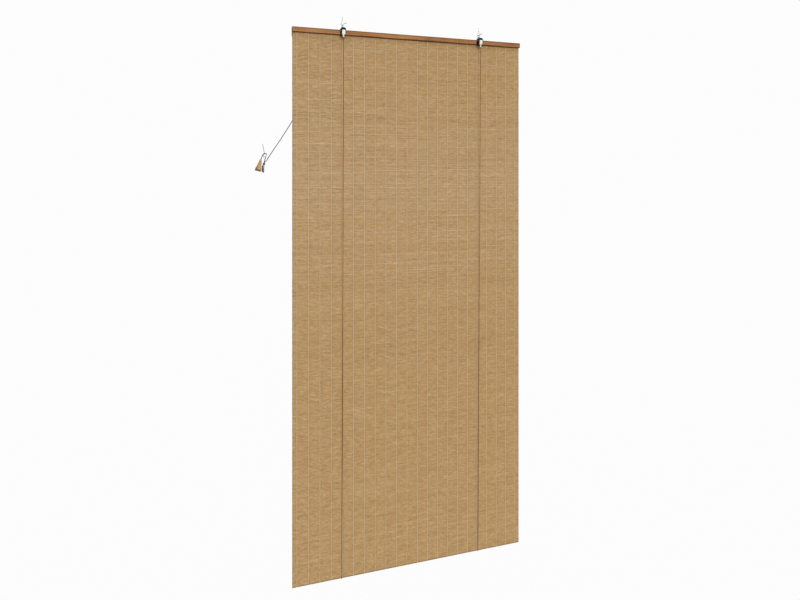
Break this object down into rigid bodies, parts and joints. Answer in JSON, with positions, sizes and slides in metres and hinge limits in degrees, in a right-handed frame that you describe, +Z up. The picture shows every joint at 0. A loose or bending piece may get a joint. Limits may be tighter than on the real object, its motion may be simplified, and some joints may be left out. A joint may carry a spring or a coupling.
{
  "type": "bamboo roll-up blind",
  "caption": "Flat bamboo splint blind hung from a wooden head rail on screw hooks, with pulley brackets and lift cords that roll it up from the bottom, and a pull cord on a side hook.",
  "frame": {"origin": "On the ceiling plane, midway between the shanks of the two screw hooks that carry the blind.", "axes": "+X along the head rail to the right of someone facing the blind, +Y back to the wall, +Z up."},
  "size_m": [1.141, 0.0651, 2.2553],
  "materials": {
    "rail_wood": "grained, satin",
    "strip_wood": "planed",
    "bamboo": "split bamboo, satin",
    "warp_thread": "cotton thread",
    "pull_wood": "turned, satin",
    "cord": "braided",
    "black_steel": "black",
    "zinc_steel": "zinc plated",
    "white_nylon": "moulded"
  },
  "bodies": {
    "root": {"bamboo_mat": "bamboo", "clamp_strip": "strip_wood", "cord_hank": "cord", "cord_hook": "zinc_steel", "cord_joiner": "pull_wood", "cord_pull": "pull_wood", "head_rail": "rail_wood", "left_anchor_screw": "zinc_steel", "left_bracket_screws": "zinc_steel", "left_cord_knot": "cord", "left_front_cord": "cord", "left_guide_eye": "zinc_steel", "left_guide_spout": "white_nylon", "left_hanger_ring": "zinc_steel", "left_pulley_bracket": "black_steel", "left_rear_cord": "cord", "left_screw_hook": "zinc_steel", "left_sheave_axle": "zinc_steel", "left_top_cord": "cord", "pull_cord": "cord", "rail_nails": "zinc_steel", "right_anchor_screw": "zinc_steel", "right_bracket_screws": "zinc_steel", "right_cord_knot": "cord", "right_front_cord": "cord", "right_guide_eye": "zinc_steel", "right_guide_spout": "white_nylon", "right_hanger_ring": "zinc_steel", "right_pulley_bracket": "black_steel", "right_rear_cord": "cord", "right_screw_hook": "zinc_steel", "right_sheave_axle": "zinc_steel", "right_top_cord": "cord", "tail_cord": "cord", "warp_threads": "warp_thread"},
    "bottom_bar": {"bottom_rod": "bamboo", "rod_nails": "zinc_steel", "left_cord_turn": "cord", "right_cord_turn": "cord"},
    "left_wheel": {"left_sheave": "white_nylon"},
    "right_wheel": {"right_sheave": "white_nylon"}
  },
  "joints": [
    {"name": "blind_raise", "type": "slide", "parent": "root", "child": "bottom_bar", "axis": [0, 0, 1], "range_m": [0, 2.05], "deforming": ["bamboo_mat", "warp_threads", "left_front_cord", "right_front_cord", "left_rear_cord", "right_rear_cord"]},
    {"name": "left_sheave_spin", "type": "hinge", "parent": "root", "child": "left_wheel", "pos_m": [-0.3, -0.01155, -0.046], "axis": [1, 0, 0], "continuous": true},
    {"name": "right_sheave_spin", "type": "hinge", "parent": "root", "child": "right_wheel", "pos_m": [0.3, -0.01155, -0.046], "axis": [1, 0, 0], "continuous": true}
  ],
  "couplings": [
    {"joint": "left_sheave_spin", "follows": "blind_raise", "rad_per_m": -250},
    {"joint": "right_sheave_spin", "follows": "blind_raise", "rad_per_m": -250}
  ]
}
